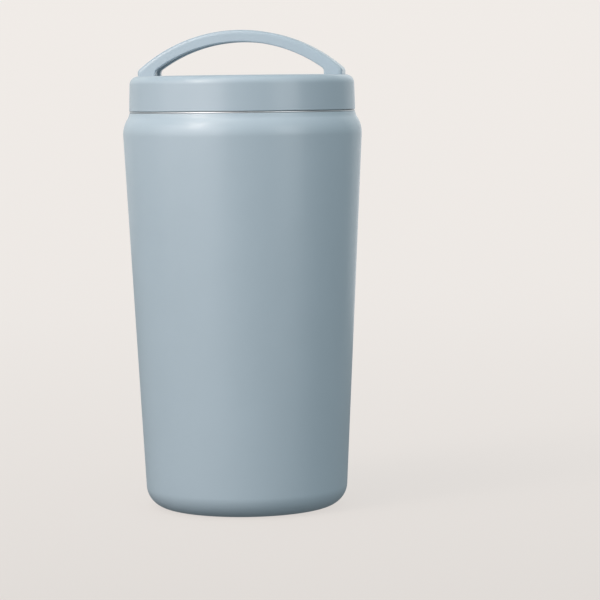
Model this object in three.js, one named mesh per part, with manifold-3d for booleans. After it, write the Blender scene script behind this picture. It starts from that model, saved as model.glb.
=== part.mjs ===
// Insulated carry tumbler: a double-wall steel cup with a screw lid and an arched carry handle.
// Millimetres, +Z up. The origin is the centre of the foot, the cup's axis is Z, and the handle spans X.
import * as THREE from "three";
import { mergeVertices } from "three/addons/utils/BufferGeometryUtils.js";
import Module from "manifold-3d";

// ---- driving dimensions -------------------------------------------------------------------------

// Outer shell
const WALL_BASE_RADIUS = 41.0; // where the tapered wall would meet the floor
const SHOULDER_RADIUS = 48.8; // widest point of the cup
const SHOULDER_HEIGHT = 153.2; // height of the widest point
const BASE_ROUND = 9.0; // rounding between wall and foot
const SHOULDER_ROUND = 11.6; // convex rounding above the wall
const FLARE_ROUND = 5.4; // hollow rounding that leads up to the lid
const NECK_INSET = 2.7; // how far the neck stands inside the shoulder
const SHELL_WALL = 0.5;
const FOOT_WIDTH = 3.4; // flat ring that the cup stands on
const LIP_HEIGHT = 0.6; // bare steel lip above the coated shell
const LIP_ROUND = 0.3; // rounding of the lip, inside and outside
const LIP_BELL = 0.8; // how much the mouth widens towards the lip
const LIP_BELL_DEPTH = 1.6; // from the lip down to where the widening starts

// Welded base
const BASE_RECESS = 1.6; // height of the base plate above the floor
const BASE_RIM_WIDTH = 1.6; // foot ring of the base plate, level with the shell's foot
const SEAL_DIMPLE_RADIUS = 6.5;
const SEAL_DIMPLE_DEPTH = 1.8;
const PUMP_HOLE_RADIUS = 1.2;
const BASE_CAP_THICKNESS = 0.5;
const GETTER_RADIUS = 5.0;
const GETTER_THICKNESS = 2.0;
const GETTER_OFFSET = 16.0; // distance of the getter from the axis

// Inner vessel
const VACUUM_GAP = 3.6; // between the shell and the vessel, along the wall
const FLOOR_GAP = 5.4; // between the base plate and the vessel's floor
const VESSEL_WALL = 0.4;
const VESSEL_BASE_ROUND = 8.0;
const LIP_WIDTH = 2.7; // from the neck's outer face to the mouth
const MOUTH_DEPTH = 15.1; // threaded mouth, from the lip down to the ledge
const LEDGE_WIDTH = 3.0; // sealing ledge, measured across
const LEDGE_HEIGHT = 2.4;
const THROAT_HEIGHT = 1.8; // narrowest ring, under the ledge
const THROAT_FLARE = 8.0; // height over which the throat widens to the wall
const FOIL_THICKNESS = 0.3;
const FOIL_STANDOFF = 1.2; // between the vessel and the foil
const FOIL_MARGIN = 14.0; // the foil stops this far from the floor and from the throat

// Screw thread, two starts, right hand
const THREAD_STARTS = 2;
const THREAD_PITCH = 5.0;
const RIDGE_HEIGHT = 1.3;
const RIDGE_ROOT_WIDTH = 2.0;
const RIDGE_CREST_WIDTH = 1.0;
const RIDGE_RAMP_DEG = 15; // run-out at each end of a ridge
const RIDGE_END_SHARE = 0.1; // height of a ridge's very end, as a share of its full height
const THREAD_TOP_INSET = 3.4; // from the lip to the highest ridge centre in the mouth
const THREAD_FOOT = 5.0; // from the ledge to the lowest ridge centre in the mouth
const THREAD_CLEARANCE = 0.4; // between crest and root
const FLANK_CLEARANCE = 0.3; // between the bearing flanks when the lid is down

// Lid
const LID_HEIGHT = 14.0;
const LID_OVERHANG = 0.05; // lid skirt radius beyond the neck's
const LID_DRAFT = 0.3; // how much the skirt narrows towards the top
const LID_EDGE_ROUND = 3.45;
const LID_WALL = 2.2;
const COVER_CHAMFER = 1.0; // inside corner under the lid's top
const SEAM_GAP = 0.35; // between the steel lip and the skirt
const SNAP_DEPTH = 0.8; // inward lip that holds the plug's flange
const SNAP_HEIGHT = 0.6;
const FLANGE_THICKNESS = 2.4;
const PLUG_WALL = 1.8;
const GROOVE_DEPTH = 2.8; // gasket groove, below the thread root
const RETAINER_HEIGHT = 2.0; // lip under the gasket
const RETAINER_CLEARANCE = 0.5; // between that lip and the throat
const FOAM_TOP_GAP = 7.0; // free height between the foam and the cover

// Carry handle
const HANDLE_RISE = 18.4; // top of the arch above the lid
const HANDLE_CORNER_HEIGHT = 2.3; // where the straight legs turn into the arch
const HANDLE_THICKNESS = 4.8; // at the top of the arch
const HANDLE_DEPTH = 15.5;
const HANDLE_INSET = 0.5; // legs' outer faces inside the flat top of the lid
const LEG_WIDTH = 7.4;
const HANDLE_EDGE_ROUND = 2.0;
const CHANNEL_WIDTH = 8.0; // groove along the underside
const CHANNEL_DEPTH = 2.2;
const TENON_WIDTH = 5.0; // block under each leg, through the lid
const TENON_DEPTH = 12.6;

// Handle fixings
const CLAMP_MARGIN = 1.6; // how far the clamp plate reaches past its slot
const CLAMP_THICKNESS = 2.0;
const SCREW_RADIUS = 1.2;
const SCREW_HEAD_RADIUS = 2.3;
const SCREW_HEAD_HEIGHT = 1.8;
const SCREW_SPACING = 9.0; // between the two screws of one leg
const SCREW_GRIP = 5.6; // shank length above the clamp plate

// Play between pieces that touch on the real object
const FIT_GAP = 0.3;

// Chamfer on small turned edges
const EDGE_BREAK = 0.6;

const ROUND_SEGMENTS = 48;
const SCREW_SEGMENTS = 16;

// ---- worked out from the driving dimensions -----------------------------------------------------

const wallAngle = Math.atan((SHOULDER_RADIUS - WALL_BASE_RADIUS) / SHOULDER_HEIGHT);
const neckRadius = SHOULDER_RADIUS - NECK_INSET;

const baseRoundCentre = WALL_BASE_RADIUS + BASE_ROUND * (Math.tan(wallAngle) - 1 / Math.cos(wallAngle));
const footInnerRadius = baseRoundCentre - FOOT_WIDTH;

const shoulderStart = SHOULDER_HEIGHT - SHOULDER_ROUND * Math.sin(wallAngle);
const shoulderCentre = wallRadius(shoulderStart) - SHOULDER_ROUND * Math.cos(wallAngle);
const flareCentre = neckRadius + FLARE_ROUND;
const flareAngle = Math.acos((flareCentre - shoulderCentre) / (SHOULDER_ROUND + FLARE_ROUND));
const neckHeight = SHOULDER_HEIGHT + (SHOULDER_ROUND + FLARE_ROUND) * Math.sin(flareAngle);

const lipTop = neckHeight;
const shellTop = lipTop - LIP_HEIGHT;
const mouthRadius = neckRadius - LIP_WIDTH;
const ledgeTop = lipTop - MOUTH_DEPTH;
const throatRadius = mouthRadius - LEDGE_WIDTH;
const throatTop = ledgeTop - LEDGE_HEIGHT;
const throatBottom = throatTop - THROAT_HEIGHT;
const vesselTop = throatBottom - THROAT_FLARE;

const basePlateTop = BASE_RECESS + SHELL_WALL;
const baseRimRadius = footInnerRadius - FIT_GAP;
const basePlateRadius = baseRimRadius - BASE_RIM_WIDTH;
const vesselUnderside = basePlateTop + FLOOR_GAP;
const vesselFloor = vesselUnderside + VESSEL_WALL;

const threadLead = THREAD_PITCH * THREAD_STARTS;
const threadHeight = MOUTH_DEPTH - THREAD_TOP_INSET - THREAD_FOOT;
const ridgeSteps = Math.floor((ROUND_SEGMENTS * threadHeight) / threadLead);
const ridgeTurn = (2 * Math.PI * ridgeSteps) / ROUND_SEGMENTS;
const ridgeStart = ledgeTop + THREAD_FOOT;
const plugRadius = mouthRadius - RIDGE_HEIGHT - THREAD_CLEARANCE;
// Axial distance between a ridge in the mouth and the lid's ridge that bears against it from below
const bearingOffset = (RIDGE_ROOT_WIDTH + RIDGE_CREST_WIDTH) / 2 + FLANK_CLEARANCE;

const skirtBottom = lipTop + SEAM_GAP;
const lidTop = skirtBottom + LID_HEIGHT;
const skirtRadius = neckRadius + LID_OVERHANG;
const lidFlatRadius = skirtRadius - LID_DRAFT - LID_EDGE_ROUND;
const coverCeiling = lidTop - LID_WALL;
const coverBore = skirtRadius - LID_WALL;
const ceilingRadius = coverBore - LID_DRAFT - COVER_CHAMFER;

const flangeRadius = coverBore - LID_DRAFT - FIT_GAP;
const flangeBottom = skirtBottom + SNAP_HEIGHT + FIT_GAP;
const flangeTop = flangeBottom + FLANGE_THICKNESS;
const grooveRadius = plugRadius - GROOVE_DEPTH;
const plugBore = grooveRadius - PLUG_WALL;
const retainerRadius = throatRadius - RETAINER_CLEARANCE;
const retainerTop = throatTop + FIT_GAP / 2;
const plugBottom = retainerTop - RETAINER_HEIGHT;
const grooveTop = ledgeTop + 2 * FIT_GAP;

const handleBottom = lidTop + FIT_GAP;
const legOuter = lidFlatRadius - HANDLE_INSET;
const legInner = legOuter - LEG_WIDTH;
const legCentre = (legOuter + legInner) / 2;
const tenonBottom = coverCeiling + FIT_GAP;
const clampTop = coverCeiling - FIT_GAP;
const clampBottom = clampTop - CLAMP_THICKNESS;
const screwSeat = clampBottom - FIT_GAP;
const screwTip = clampTop + SCREW_GRIP;

// ---- finishes -----------------------------------------------------------------------------------

const powderCoat = new THREE.MeshStandardMaterial({ color: 0xa9bac2, roughness: 0.6, metalness: 0.1 });
const mouldedPlastic = new THREE.MeshStandardMaterial({ color: 0xa9bac3, roughness: 0.55, metalness: 0 });
const bareSteel = new THREE.MeshStandardMaterial({ color: 0xc9ccce, roughness: 0.3, metalness: 1 });
const screwSteel = new THREE.MeshStandardMaterial({ color: 0xb4b7ba, roughness: 0.35, metalness: 1 });
const copperFoil = new THREE.MeshStandardMaterial({ color: 0xb87350, roughness: 0.25, metalness: 1 });
const silicone = new THREE.MeshStandardMaterial({ color: 0xd9dcdb, roughness: 0.7, metalness: 0 });
const whiteFoam = new THREE.MeshStandardMaterial({ color: 0xe8e6de, roughness: 0.95, metalness: 0 });
const solderGlass = new THREE.MeshStandardMaterial({ color: 0x4b4a48, roughness: 0.4, metalness: 0 });
const getterAlloy = new THREE.MeshStandardMaterial({ color: 0x77787a, roughness: 0.6, metalness: 0.8 });

// ---- shape helpers ------------------------------------------------------------------------------

const wasm = await Module();
wasm.setup();

// Radius of the cup's outer wall at a height.
function wallRadius(z) {
  return WALL_BASE_RADIUS + z * Math.tan(wallAngle);
}

function point(r, z) {
  return new THREE.Vector2(r, z);
}

// Points of a circular arc, angles in radians from the outward direction.
function arc(r, z, radius, from, to, steps) {
  return Array.from({ length: steps + 1 }, (_, i) => {
    const angle = from + ((to - from) * i) / steps;
    return point(r + radius * Math.cos(angle), z + radius * Math.sin(angle));
  });
}

// Body of revolution about Z. The outline runs counter-clockwise, radius to the right and height up.
function turned(outline, segments = ROUND_SEGMENTS) {
  return new THREE.LatheGeometry([...outline, outline[0].clone()], segments).rotateX(Math.PI / 2);
}

// Outline in the XZ plane, extruded along Y and centred on it.
function extrudedAcross(shape, depth, options = {}) {
  const geometry = new THREE.ExtrudeGeometry(shape, { depth, bevelEnabled: false, ...options });
  return geometry.rotateX(Math.PI / 2).translate(0, depth / 2, 0);
}

function block(width, depth, bottom, top, x = 0, y = 0) {
  return new THREE.BoxGeometry(width, depth, top - bottom).translate(x, y, (top + bottom) / 2);
}

function rod(radius, bottom, top, x, y) {
  const cylinder = new THREE.CylinderGeometry(radius, radius, top - bottom, SCREW_SEGMENTS);
  return cylinder.rotateX(Math.PI / 2).translate(x, y, (top + bottom) / 2);
}

function solid(geometry) {
  const bare = new THREE.BufferGeometry();
  bare.setAttribute("position", geometry.getAttribute("position"));
  bare.setIndex(geometry.index);
  const merged = mergeVertices(bare, 1e-4);
  const vertProperties = merged.attributes.position.array;
  const triVerts = new Uint32Array(merged.index.array);
  return new wasm.Manifold(new wasm.Mesh({ numProp: 3, vertProperties, triVerts }));
}

function surface(body) {
  const mesh = body.getMesh();
  const geometry = new THREE.BufferGeometry();
  geometry.setAttribute("position", new THREE.BufferAttribute(mesh.vertProperties, 3));
  geometry.setIndex(new THREE.BufferAttribute(mesh.triVerts, 1));
  geometry.computeVertexNormals();
  return geometry;
}

// One thread ridge. Its section is drawn flat, extruded, and then wound up the helix z = lead * turns.
// Away from the ends the crest stands the full ridge height off the root.
function threadRidge(rootRadius, crestRadius, buried, centre, startAngle) {
  const outward = Math.sign(crestRadius - rootRadius);
  const section = new THREE.Shape([
    point(rootRadius - outward * buried, -RIDGE_ROOT_WIDTH / 2),
    point(rootRadius, -RIDGE_ROOT_WIDTH / 2),
    point(crestRadius, -RIDGE_CREST_WIDTH / 2),
    point(crestRadius, RIDGE_CREST_WIDTH / 2),
    point(rootRadius, RIDGE_ROOT_WIDTH / 2),
    point(rootRadius - outward * buried, RIDGE_ROOT_WIDTH / 2),
  ]);
  const options = { depth: ridgeTurn, steps: ridgeSteps, bevelEnabled: false };
  const ridge = new THREE.ExtrudeGeometry(section, options);
  const ramp = THREE.MathUtils.degToRad(RIDGE_RAMP_DEG);
  const position = ridge.getAttribute("position");
  for (let i = 0; i < position.count; i++) {
    const turn = ridgeTurn - position.getZ(i);
    const fade = Math.min(1, turn / ramp, (ridgeTurn - turn) / ramp);
    const overRoot = Math.max(0, outward * (position.getX(i) - rootRadius));
    const radius = position.getX(i) - outward * overRoot * (1 - Math.max(fade, RIDGE_END_SHARE));
    const angle = startAngle + turn;
    const height = centre + position.getY(i) + (threadLead * turn) / (2 * Math.PI);
    position.setXYZ(i, radius * Math.cos(angle), radius * Math.sin(angle), height);
  }
  return ridge;
}

// Joins every start of the thread to a wall.
function threaded(wall, rootRadius, crestRadius, buried, centre) {
  let body = wall;
  for (let start = 0; start < THREAD_STARTS; start++) {
    const angle = (2 * Math.PI * start) / THREAD_STARTS;
    body = body.add(solid(threadRidge(rootRadius, crestRadius, buried, centre, angle)));
  }
  return body;
}

function piece(name, geometry, material) {
  const mesh = new THREE.Mesh(geometry, material);
  mesh.name = name;
  return mesh;
}

// ---- double-wall cup ----------------------------------------------------------------------------

// Outline of the shell from foot to lip, set in by an inset measured square to the wall.
// The detail is the number of facets on each rounding.
function shellOutline(inset, top, detail) {
  const flareFrom = Math.PI + flareAngle;
  const flare = arc(flareCentre, neckHeight, FLARE_ROUND + inset, flareFrom, Math.PI, detail);
  return [
    point(footInnerRadius, inset),
    ...arc(baseRoundCentre, BASE_ROUND, BASE_ROUND - inset, -Math.PI / 2, -wallAngle, detail),
    ...arc(shoulderCentre, SHOULDER_HEIGHT, SHOULDER_ROUND - inset, -wallAngle, flareAngle, detail),
    ...flare.slice(1).filter((p) => p.y < top - inset / 2),
    point(neckRadius - inset, top),
  ];
}

function makeOuterShell() {
  const outside = shellOutline(0, shellTop, 6);
  const inside = shellOutline(SHELL_WALL, shellTop, 4);
  return piece("outer_shell", turned([...outside, ...inside.reverse()]), powderCoat);
}

// Plate welded inside the foot, with a dimple and a pump hole in its middle.
function makeOuterBase() {
  const underside = [
    point(PUMP_HOLE_RADIUS, BASE_RECESS + SEAL_DIMPLE_DEPTH),
    point(SEAL_DIMPLE_RADIUS - SEAL_DIMPLE_DEPTH, BASE_RECESS + SEAL_DIMPLE_DEPTH),
    point(SEAL_DIMPLE_RADIUS, BASE_RECESS),
    point(basePlateRadius, BASE_RECESS),
    point(basePlateRadius + SHELL_WALL / 2, 0),
  ];
  const topside = [
    point(baseRimRadius, 0),
    point(baseRimRadius, basePlateTop),
    point(SEAL_DIMPLE_RADIUS + SHELL_WALL / 2, basePlateTop),
    point(SEAL_DIMPLE_RADIUS - SEAL_DIMPLE_DEPTH + SHELL_WALL / 2, basePlateTop + SEAL_DIMPLE_DEPTH),
    point(PUMP_HOLE_RADIUS, basePlateTop + SEAL_DIMPLE_DEPTH),
  ];
  return piece("outer_base", turned([...underside, ...topside]), powderCoat);
}

// Thin disc glued into the recess, over the sealed pump hole.
function makeBaseCap() {
  const top = BASE_RECESS - FIT_GAP;
  const radius = basePlateRadius - FIT_GAP;
  const outline = [
    point(0, top - BASE_CAP_THICKNESS),
    point(radius - BASE_CAP_THICKNESS / 2, top - BASE_CAP_THICKNESS),
    point(radius, top - BASE_CAP_THICKNESS / 2),
    point(radius, top),
    point(0, top),
  ];
  return piece("base_cap", turned(outline), bareSteel);
}

// Bead of solder glass that closes the pump hole from below.
function makeVacuumSeal() {
  const top = BASE_RECESS + SEAL_DIMPLE_DEPTH - FIT_GAP;
  const radius = SEAL_DIMPLE_RADIUS - SEAL_DIMPLE_DEPTH - FIT_GAP;
  const neck = PUMP_HOLE_RADIUS - FIT_GAP;
  const outline = [
    point(0, BASE_RECESS),
    point(radius - EDGE_BREAK, BASE_RECESS),
    point(radius, BASE_RECESS + EDGE_BREAK),
    point(radius, top),
    point(neck, top),
    point(neck, top + SHELL_WALL + FIT_GAP),
    point(0, top + SHELL_WALL + FIT_GAP),
  ];
  return piece("vacuum_seal", turned(outline, SCREW_SEGMENTS), solderGlass);
}

// Gas-absorbing tablet held on the base plate, inside the vacuum.
function makeGetter() {
  const bottom = basePlateTop + FIT_GAP;
  const tablet = rod(GETTER_RADIUS, bottom, bottom + GETTER_THICKNESS, GETTER_OFFSET, 0);
  return piece("getter", tablet, getterAlloy);
}

// Radius of the vessel's tapered wall at a height, measured to its outer or inner face.
function vesselRadius(z, inset) {
  return wallRadius(z) - (SHELL_WALL + VACUUM_GAP + inset) / Math.cos(wallAngle);
}

// Side of the vessel from its floor to its throat. Inset 0 gives the outer face, VESSEL_WALL the inner.
function vesselSide(inset) {
  const floor = vesselUnderside + inset;
  const round = VESSEL_BASE_ROUND - inset;
  const roundTop = floor + round;
  const roundCentre = vesselRadius(roundTop, inset) - round * (1 / Math.cos(wallAngle));
  const outward = VESSEL_WALL - inset;
  const slope = LEDGE_HEIGHT / LEDGE_WIDTH;
  const ledgeDrop = outward * (Math.hypot(1, slope) - slope);
  return [
    ...arc(roundCentre, roundTop, round, -Math.PI / 2, -wallAngle, 5),
    point(vesselRadius(vesselTop, inset), vesselTop),
    point(throatRadius + outward, throatBottom),
    point(throatRadius + outward, throatTop - ledgeDrop),
    point(mouthRadius + outward, ledgeTop - ledgeDrop),
  ];
}

// Steel liner with a rolled lip, a threaded mouth and a sealing ledge under the thread.
function makeInnerVessel() {
  const lipBore = mouthRadius + LIP_BELL;
  const lipUnderside = shellTop - VESSEL_WALL;
  const collar = neckRadius - SHELL_WALL - FIT_GAP;
  const outside = [
    point(0, vesselUnderside),
    ...vesselSide(0),
    point(mouthRadius + VESSEL_WALL, lipTop - LIP_BELL_DEPTH - VESSEL_WALL),
    point(lipBore + VESSEL_WALL, lipUnderside),
    point(collar, lipUnderside),
    point(collar, shellTop + FIT_GAP),
    point(neckRadius, shellTop + FIT_GAP),
    point(neckRadius - LIP_ROUND, lipTop),
  ];
  const inside = [
    point(0, vesselFloor),
    ...vesselSide(VESSEL_WALL),
    point(mouthRadius, lipTop - LIP_BELL_DEPTH),
    point(lipBore, lipTop - LIP_ROUND),
    point(lipBore + LIP_ROUND, lipTop),
  ];
  const liner = solid(turned([...outside, ...inside.reverse()]));
  const crest = mouthRadius - RIDGE_HEIGHT;
  const body = threaded(liner, mouthRadius, crest, VESSEL_WALL / 2, ridgeStart);
  return piece("inner_vessel", surface(body), bareSteel);
}

// Reflective foil wrapped round the vessel inside the vacuum.
function makeRadiationFoil() {
  const bottom = vesselFloor + FOIL_MARGIN;
  const top = throatBottom - FOIL_MARGIN;
  const outline = [
    point(vesselRadius(bottom, -FOIL_STANDOFF), bottom),
    point(vesselRadius(bottom, -FOIL_STANDOFF - FOIL_THICKNESS), bottom),
    point(vesselRadius(top, -FOIL_STANDOFF - FOIL_THICKNESS), top),
    point(vesselRadius(top, -FOIL_STANDOFF), top),
  ];
  return piece("radiation_foil", turned(outline), copperFoil);
}

// ---- lid ----------------------------------------------------------------------------------------

// Centres of the two legs: the left one is towards -X.
const legs = [
  { side: "left", x: -legCentre },
  { side: "right", x: legCentre },
];

// Calls make(x, y, number) for each handle screw.
function forEachScrew(make) {
  legs.forEach(({ x }, leg) => {
    [-1, 1].forEach((end, i) => make(x, (end * SCREW_SPACING) / 2, 2 * leg + i + 1));
  });
}

// Inverted cup with a rounded edge, a snap lip inside its skirt and a slot for each leg of the handle.
function makeLidCover() {
  const outline = [
    point(0, coverCeiling),
    point(ceilingRadius, coverCeiling),
    point(coverBore - LID_DRAFT, coverCeiling - COVER_CHAMFER),
    point(coverBore, flangeBottom - FIT_GAP),
    point(coverBore - SNAP_DEPTH, skirtBottom + SNAP_HEIGHT),
    point(coverBore - SNAP_DEPTH, skirtBottom),
    point(skirtRadius, skirtBottom),
    ...arc(lidFlatRadius, lidTop - LID_EDGE_ROUND, LID_EDGE_ROUND, 0, Math.PI / 2, 7),
    point(0, lidTop),
  ];
  let cover = solid(turned(outline));
  for (const { x } of legs) {
    const width = TENON_WIDTH + 2 * FIT_GAP;
    const depth = TENON_DEPTH + 2 * FIT_GAP;
    cover = cover.subtract(solid(block(width, depth, coverCeiling - 1, lidTop + 1, x)));
  }
  return piece("lid_cover", surface(cover), mouldedPlastic);
}

// Threaded plug: a flange inside the cover's skirt, a tube with the thread, a gasket groove and a floor.
function makeLidPlug() {
  const outline = [
    point(0, plugBottom),
    point(retainerRadius - EDGE_BREAK, plugBottom),
    point(retainerRadius, plugBottom + EDGE_BREAK),
    point(retainerRadius, retainerTop),
    point(grooveRadius, retainerTop),
    point(grooveRadius, grooveTop),
    point(plugRadius, grooveTop),
    point(plugRadius, flangeBottom),
    point(flangeRadius, flangeBottom),
    point(flangeRadius, flangeTop),
    point(plugBore, flangeTop),
    point(plugBore, plugBottom + PLUG_WALL),
    point(0, plugBottom + PLUG_WALL),
  ];
  const plug = solid(turned(outline));
  const crest = plugRadius + RIDGE_HEIGHT;
  const body = threaded(plug, plugRadius, crest, PLUG_WALL / 2, ridgeStart - bearingOffset);
  return piece("lid_plug", surface(body), mouldedPlastic);
}

// Silicone ring in the plug's groove. Its lower edge follows the sealing ledge.
function makeLidGasket() {
  const inner = grooveRadius + FIT_GAP;
  const outer = plugRadius;
  const slope = LEDGE_HEIGHT / LEDGE_WIDTH;
  const bottom = throatTop + 2 * FIT_GAP;
  const outline = [
    point(inner, bottom),
    point(throatRadius, bottom),
    point(outer, bottom + (outer - throatRadius) * slope),
    point(outer, grooveTop - FIT_GAP),
    point(inner, grooveTop - FIT_GAP),
  ];
  return piece("lid_gasket", turned(outline), silicone);
}

// Insulating filling of the plug.
function makeLidFoam() {
  const bottom = plugBottom + PLUG_WALL + FIT_GAP;
  const top = coverCeiling - FOAM_TOP_GAP;
  const radius = plugBore - FIT_GAP;
  const outline = [point(0, bottom), point(radius, bottom), point(radius, top), point(0, top)];
  return piece("lid_foam", turned(outline), whiteFoam);
}

// ---- carry handle -------------------------------------------------------------------------------

// Upright sides that turn, at a corner height, into one circular arc over the middle.
function archShape(halfSpan, bottom, corner, apex) {
  const rise = apex - corner;
  const radius = (halfSpan ** 2 + rise ** 2) / (2 * rise);
  const halfAngle = Math.asin(halfSpan / radius);
  const crown = arc(0, apex - radius, radius, Math.PI / 2 - halfAngle, Math.PI / 2 + halfAngle, 28);
  return new THREE.Shape([point(-halfSpan, bottom), point(halfSpan, bottom), ...crown]);
}

// The band between two arches, hollowed underneath, with a tenon and two screw holes in each leg.
function makeCarryHandle() {
  const corner = lidTop + HANDLE_CORNER_HEIGHT;
  const apex = lidTop + HANDLE_RISE;
  const round = HANDLE_EDGE_ROUND;
  const spare = 10; // cutters and the rounded blank reach this far below the legs
  const blank = extrudedAcross(
    archShape(legOuter - round, lidTop - spare, corner - round / 2, apex - round),
    HANDLE_DEPTH - 2 * round,
    { bevelEnabled: true, bevelSize: round, bevelThickness: round, bevelSegments: 3 },
  );
  const innerApex = apex - HANDLE_THICKNESS;
  const window = extrudedAcross(archShape(legInner, lidTop - 2 * spare, corner, innerApex), 2 * HANDLE_DEPTH);
  const below = block(4 * legOuter, 2 * HANDLE_DEPTH, lidTop - 2 * spare, handleBottom);
  const channel = extrudedAcross(
    archShape(legInner + CHANNEL_DEPTH, handleBottom, corner + CHANNEL_DEPTH / 2, innerApex + CHANNEL_DEPTH),
    CHANNEL_WIDTH,
  );
  let handle = solid(blank).subtract(solid(window)).subtract(solid(below)).subtract(solid(channel));
  for (const { x } of legs) {
    handle = handle.add(solid(block(TENON_WIDTH, TENON_DEPTH, tenonBottom, handleBottom + FIT_GAP, x)));
  }
  forEachScrew((x, y) => {
    const hole = rod(SCREW_RADIUS + FIT_GAP, tenonBottom - 1, screwTip + FIT_GAP, x, y);
    handle = handle.subtract(solid(hole));
  });
  return piece("carry_handle", surface(handle), mouldedPlastic);
}

// Plate under the lid's top that the screws pull against, one for each leg. Its outer edge is round,
// to fit the cover.
function makeHandleClamp({ side, x }) {
  const width = TENON_WIDTH + 2 * CLAMP_MARGIN;
  const depth = TENON_DEPTH + 2 * CLAMP_MARGIN;
  const reach = ceilingRadius - FIT_GAP;
  const disc = [point(0, clampBottom), point(reach, clampBottom), point(reach, clampTop), point(0, clampTop)];
  let plate = solid(block(width, depth, clampBottom - 1, clampTop + 1, x)).intersect(solid(turned(disc)));
  forEachScrew((screwX, y) => {
    const hole = rod(SCREW_RADIUS + FIT_GAP, clampBottom - 1, clampTop + 1, screwX, y);
    plate = plate.subtract(solid(hole));
  });
  return piece("handle_clamp_" + side, surface(plate), bareSteel);
}

// Pan-head screw, driven upwards through the clamp plate into the leg.
function makeHandleScrew(x, y, number) {
  const outline = [
    point(0, screwSeat - SCREW_HEAD_HEIGHT),
    point(SCREW_HEAD_RADIUS - EDGE_BREAK, screwSeat - SCREW_HEAD_HEIGHT),
    point(SCREW_HEAD_RADIUS, screwSeat - SCREW_HEAD_HEIGHT / 2),
    point(SCREW_HEAD_RADIUS, screwSeat),
    point(SCREW_RADIUS, screwSeat),
    point(SCREW_RADIUS, screwTip - SCREW_RADIUS / 2),
    point(0, screwTip),
  ];
  return piece("handle_screw_" + number, turned(outline, SCREW_SEGMENTS).translate(x, y, 0), screwSteel);
}

// ---- assembly -----------------------------------------------------------------------------------

const cup = new THREE.Group();
cup.add(makeOuterShell(), makeOuterBase(), makeBaseCap(), makeVacuumSeal(), makeGetter());
cup.add(makeInnerVessel(), makeRadiationFoil());

const lid = new THREE.Group();
lid.add(makeLidCover(), makeLidPlug(), makeLidGasket(), makeLidFoam(), makeCarryHandle());
legs.forEach((leg) => lid.add(makeHandleClamp(leg)));
forEachScrew((x, y, number) => lid.add(makeHandleScrew(x, y, number)));

const tumbler = new THREE.Group();
tumbler.add(cup, lid);

export default tumbler;
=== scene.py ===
"""Finished look of an insulated carry tumbler.

It has a coated double-wall steel cup, a screw lid and an arched handle. Every piece is built round the
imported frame, in metres, +Z up, with the cup's axis on Z and the handle along X.
"""

import math
from typing import NamedTuple

import bpy
import numpy as np
from bpy.props import FloatProperty, FloatVectorProperty, PointerProperty
from bpy.types import Operator, Panel, PropertyGroup
from mathutils import Matrix, Vector


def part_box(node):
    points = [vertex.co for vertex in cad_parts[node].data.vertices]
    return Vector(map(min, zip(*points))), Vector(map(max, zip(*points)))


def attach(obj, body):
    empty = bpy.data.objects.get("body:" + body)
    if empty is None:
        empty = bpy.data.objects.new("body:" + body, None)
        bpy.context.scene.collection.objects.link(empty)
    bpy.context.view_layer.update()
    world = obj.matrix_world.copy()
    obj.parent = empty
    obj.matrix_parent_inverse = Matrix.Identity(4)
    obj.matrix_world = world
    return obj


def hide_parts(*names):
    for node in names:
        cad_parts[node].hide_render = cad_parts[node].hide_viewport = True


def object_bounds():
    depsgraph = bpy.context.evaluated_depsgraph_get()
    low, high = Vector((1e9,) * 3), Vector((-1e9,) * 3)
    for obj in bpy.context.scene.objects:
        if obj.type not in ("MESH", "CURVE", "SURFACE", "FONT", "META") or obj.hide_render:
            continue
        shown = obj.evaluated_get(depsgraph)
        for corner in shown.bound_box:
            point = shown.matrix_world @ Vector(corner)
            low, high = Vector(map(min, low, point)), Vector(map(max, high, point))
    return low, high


bl_info = {
    "name": "Carry tumbler",
    "version": (1, 0, 0),
    "blender": (4, 5, 0),
    "location": "View3D > Sidebar > Tumbler",
    "description": "Builds the cup, lid and handle of an insulated carry tumbler round its packed frame",
    "category": "Add Mesh",
}

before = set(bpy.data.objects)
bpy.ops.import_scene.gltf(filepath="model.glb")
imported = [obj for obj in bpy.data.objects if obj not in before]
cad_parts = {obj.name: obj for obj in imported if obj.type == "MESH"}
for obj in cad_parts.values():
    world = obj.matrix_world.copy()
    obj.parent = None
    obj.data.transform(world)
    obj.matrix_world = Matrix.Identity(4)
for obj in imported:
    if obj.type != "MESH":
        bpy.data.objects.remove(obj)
CAD_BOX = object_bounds()

MM = 0.001
QUARTER = math.pi / 2  # a quarter turn
TURNED_SEGMENTS = 256  # facets round the axis on every turned piece
CORNER_STEPS = 5  # facets of a rounded corner
SUPPORT = 0.2 * MM  # from a long flat side's end to the extra row of points that keeps its shading flat
LONG_SIDE = 6 * SUPPORT  # a side longer than this gets those rows
TINY = 1e-9  # stands in for a length of nought
SHARP_ANGLE = math.radians(35)  # edges that bend more than this are shaded as edges

# Corners of the frame's boxes, which give the new pieces their places
SHELL_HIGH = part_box("outer_shell")[1]
BASE_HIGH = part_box("outer_base")[1]
CAP_LOW, CAP_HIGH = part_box("base_cap")
VESSEL_LOW, VESSEL_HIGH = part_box("inner_vessel")
COVER_LOW, COVER_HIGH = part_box("lid_cover")
PLUG_LOW, PLUG_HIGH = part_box("lid_plug")
GASKET_LOW, GASKET_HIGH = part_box("lid_gasket")
HANDLE_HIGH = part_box("carry_handle")[1]


# ---- sizes and colours that a user may change ---------------------------------------------------


def length(name, description, default):
    """A size property in metres."""
    return FloatProperty(
        name=name, description=description, default=default, min=0, precision=5, unit="LENGTH"
    )


def turn(name, description, degrees):
    """An angle property, given here in degrees."""
    angle = math.radians(degrees)
    return FloatProperty(name=name, description=description, default=angle, subtype="ANGLE")


def colour(name, description, default):
    """A colour property, in linear light."""
    return FloatVectorProperty(
        name=name, description=description, default=default, min=0, max=1, size=3, subtype="COLOR"
    )


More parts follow.
